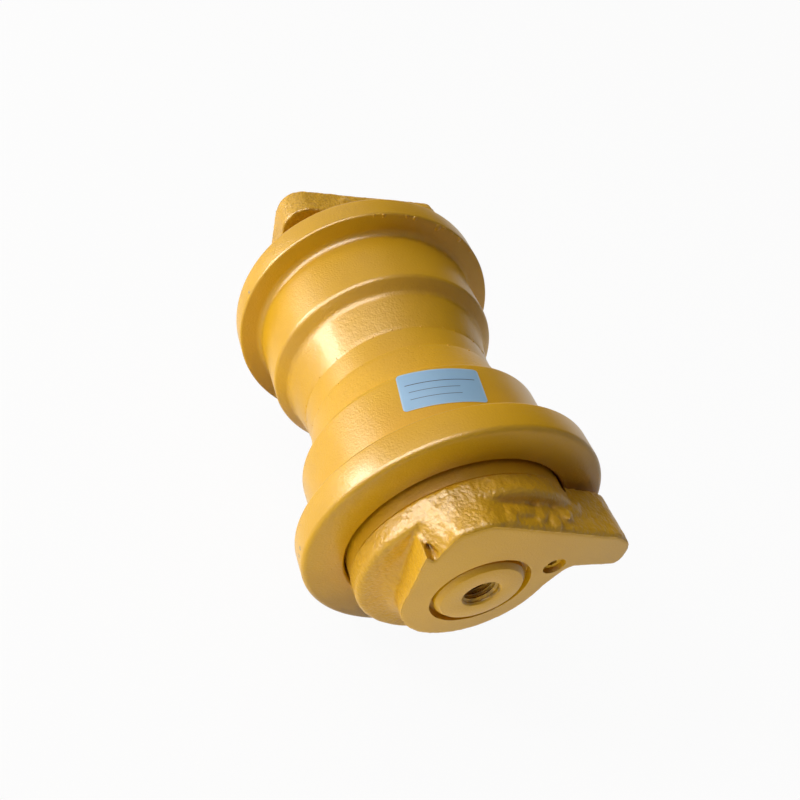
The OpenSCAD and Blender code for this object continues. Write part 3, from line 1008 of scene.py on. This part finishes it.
class ROLLER_OT_stage(Operator):
    """Sets the floor, the lights and the camera"""

    bl_idname = "roller.stage"
    bl_label = "Studio Stage"

    def floor(self, context, stage):
        """A pale floor that keeps the shadow and shows white."""
        drop_selection()
        bpy.ops.mesh.primitive_plane_add(size=60.0, location=(0, 0, CAD_BOX[0][2]))
        floor = context.object
        floor.name = floor.data.name = "studio_floor"
        bpy.ops.object.transform_apply(location=True)
        material = bpy.data.materials.new("pale floor")
        graph = Graph(material)
        matt = graph.node("BsdfDiffuse", {}, {"Color": stage.floor})
        glow = graph.node("Emission", {}, {"Strength": 1.0})
        both = graph.node("MixShader", {}, {"Fac": graph.seen() * 0.95, 1: matt, 2: glow})
        graph.node("OutputMaterial", {}, {"Surface": both})
        floor.data.materials.append(material)

    def sky(self, context, stage):
        """Soft light from all round, and a white backdrop that reflects dark high up behind the object."""
        world = bpy.data.worlds.new("studio sky")
        context.scene.world = world
        graph = Graph(world)
        ray = graph.node("TexCoord", out="Generated")
        x, y, z = (graph.node("SeparateXYZ", {}, {0: ray}, axis) for axis in range(3))
        bright = (z * 0.46 - x * 0.84 + y).above(0.0, 1.2) * y.above(-0.35, 0.15)
        warm, glow = (1.0, 0.955, 0.88), stage.sky * (0.15 + bright * 3.4)
        soft = graph.node("Background", {}, {"Color": warm, "Strength": glow})
        dark = x.above(-0.20, 0.15) * y.above(-0.20, 0.25) * z.above(0.02, 0.28)
        unseen = 1.0 - graph.node("LightPath", out="Is Camera Ray")
        white, shade = (1.0, 1.0, 1.0), 0.972 - dark * unseen * 0.94
        backdrop = graph.node("Background", {}, {"Color": white, "Strength": shade})
        both = graph.node("MixShader", {}, {"Fac": graph.seen(), 1: soft, 2: backdrop})
        graph.node("OutputWorld", {}, {"Surface": both})

    def lamp(self, context, name, place, size, power, glint=False, upward=False):
        """A round soft lamp that shines at the middle of the object or straight up, and may leave a glint."""
        away = Vector((0, 0, -1)) if upward else Vector(place)
        turn = away.to_track_quat("Z", "Y").to_euler()
        drop_selection()
        bpy.ops.object.light_add(type="AREA", location=place, rotation=turn)
        lamp = context.object
        lamp.name = lamp.data.name = name
        lamp.data.shape = "DISK"
        lamp.data.size = size
        lamp.data.energy = power
        lamp.visible_camera = False
        lamp.visible_glossy = glint
        return lamp

    def bright_wall(self, context, name, place, wide, tall, brightness):
        """A wide bright card that only shows in the gloss of the paint."""
        wall = self.lamp(context, name, place, wide, brightness * math.pi * wide * tall, glint=True)
        wall.data.shape = "RECTANGLE"
        wall.data.size_y = tall
        wall.visible_diffuse = False

    def camera(self, context):
        """The camera where the photo was taken."""
        drop_selection()
        bpy.ops.object.camera_add()
        camera = context.object
        camera.name = camera.data.name = "photo camera"
        right = Vector((0.85897, -0.31760, 0.40162))
        up = Vector((-0.02319, 0.75945, 0.65016))
        turn = Matrix((right, up, right.cross(up))).transposed()
        camera.matrix_world = Matrix.Translation((-0.173859, -0.229156, 0.214658)) @ turn.to_4x4()
        camera.data.sensor_fit = "HORIZONTAL"
        camera.data.sensor_width = 36.0
        camera.data.lens = 32.770
        camera.data.shift_x = -0.0290
        camera.data.shift_y = 0.0901
        camera.data.clip_start = 0.01
        context.scene.camera = camera

    def execute(self, context):
        stage = context.scene.roller_stage
        self.floor(context, stage)
        self.sky(context, stage)
        self.lamp(context, "key light", (-1.32, 0.69, 0.20), 0.30, stage.key)
        self.lamp(context, "side light", (-1.00, -0.60, 0.00), 0.50, stage.side, glint=True)
        self.lamp(context, "high light", (-1.16, 0.42, 0.82), 0.30, stage.strip)
        self.bright_wall(context, "bright window", (-1.361, 0.719, 0.155), 0.377, 0.50, 1.7 * stage.glint)
        self.bright_wall(context, "low bright wall", (-1.496, 0.177, 0.155), 0.743, 0.50, stage.glint)
        self.bright_wall(context, "high bright wall", (-1.08, -0.22, 0.98), 1.00, 1.60, 0.8 * stage.glint)
        low = CAD_BOX[0][2] + 6 * MM
        for name, x, y, share in (
            ("front bounce", -0.08, -0.26, 0.85),
            ("left bounce", -0.24, 0.0, 1.15),
            ("right bounce", 0.24, 0.03, 0.85),
        ):
            self.lamp(context, name, (x, y, low), 0.26, share * stage.bounce, upward=True)
        self.camera(context)
        context.scene.view_settings.view_transform = "Standard"
        return {"FINISHED"}


OPERATORS = (
    ROLLER_OT_shell,
    ROLLER_OT_collars,
    ROLLER_OT_shaft,
    ROLLER_OT_label,
    ROLLER_OT_inner,
    ROLLER_OT_stage,
)

SETTINGS = {
    "roller_shell": ShellSizes,
    "roller_collar": CollarSizes,
    "roller_shaft": ShaftSizes,
    "roller_label": LabelSizes,
    "roller_paint": PaintColours,
    "roller_stage": StageSettings,
}


class ROLLER_PT_panel(Panel):
    """Lists the pieces of the track roller and their sizes"""

    bl_idname = "ROLLER_PT_panel"
    bl_label = "Track Roller"
    bl_space_type = "VIEW_3D"
    bl_region_type = "UI"
    bl_category = "Roller"

    def draw(self, context):
        for kind in OPERATORS:
            self.layout.operator(kind.bl_idname)
        for name in SETTINGS:
            box = self.layout.box()
            group = getattr(context.scene, name)
            for prop in group.bl_rna.properties:
                if prop.identifier not in ("rna_type", "name"):
                    box.prop(group, prop.identifier)


def register():
    for name, kind in SETTINGS.items():
        bpy.utils.register_class(kind)
        setattr(bpy.types.Scene, name, PointerProperty(type=kind))
    for kind in (*OPERATORS, ROLLER_PT_panel):
        bpy.utils.register_class(kind)


def unregister():
    for kind in (ROLLER_PT_panel, *reversed(OPERATORS)):
        bpy.utils.unregister_class(kind)
    for name, kind in SETTINGS.items():
        delattr(bpy.types.Scene, name)
        bpy.utils.unregister_class(kind)


def main():
    register()
    bpy.ops.roller.shell()
    bpy.ops.roller.collars()
    bpy.ops.roller.shaft()
    bpy.ops.roller.label()
    bpy.ops.roller.inner()
    bpy.ops.roller.stage()
    drop_selection()
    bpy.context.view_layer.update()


if __name__ == "__main__":
    main()
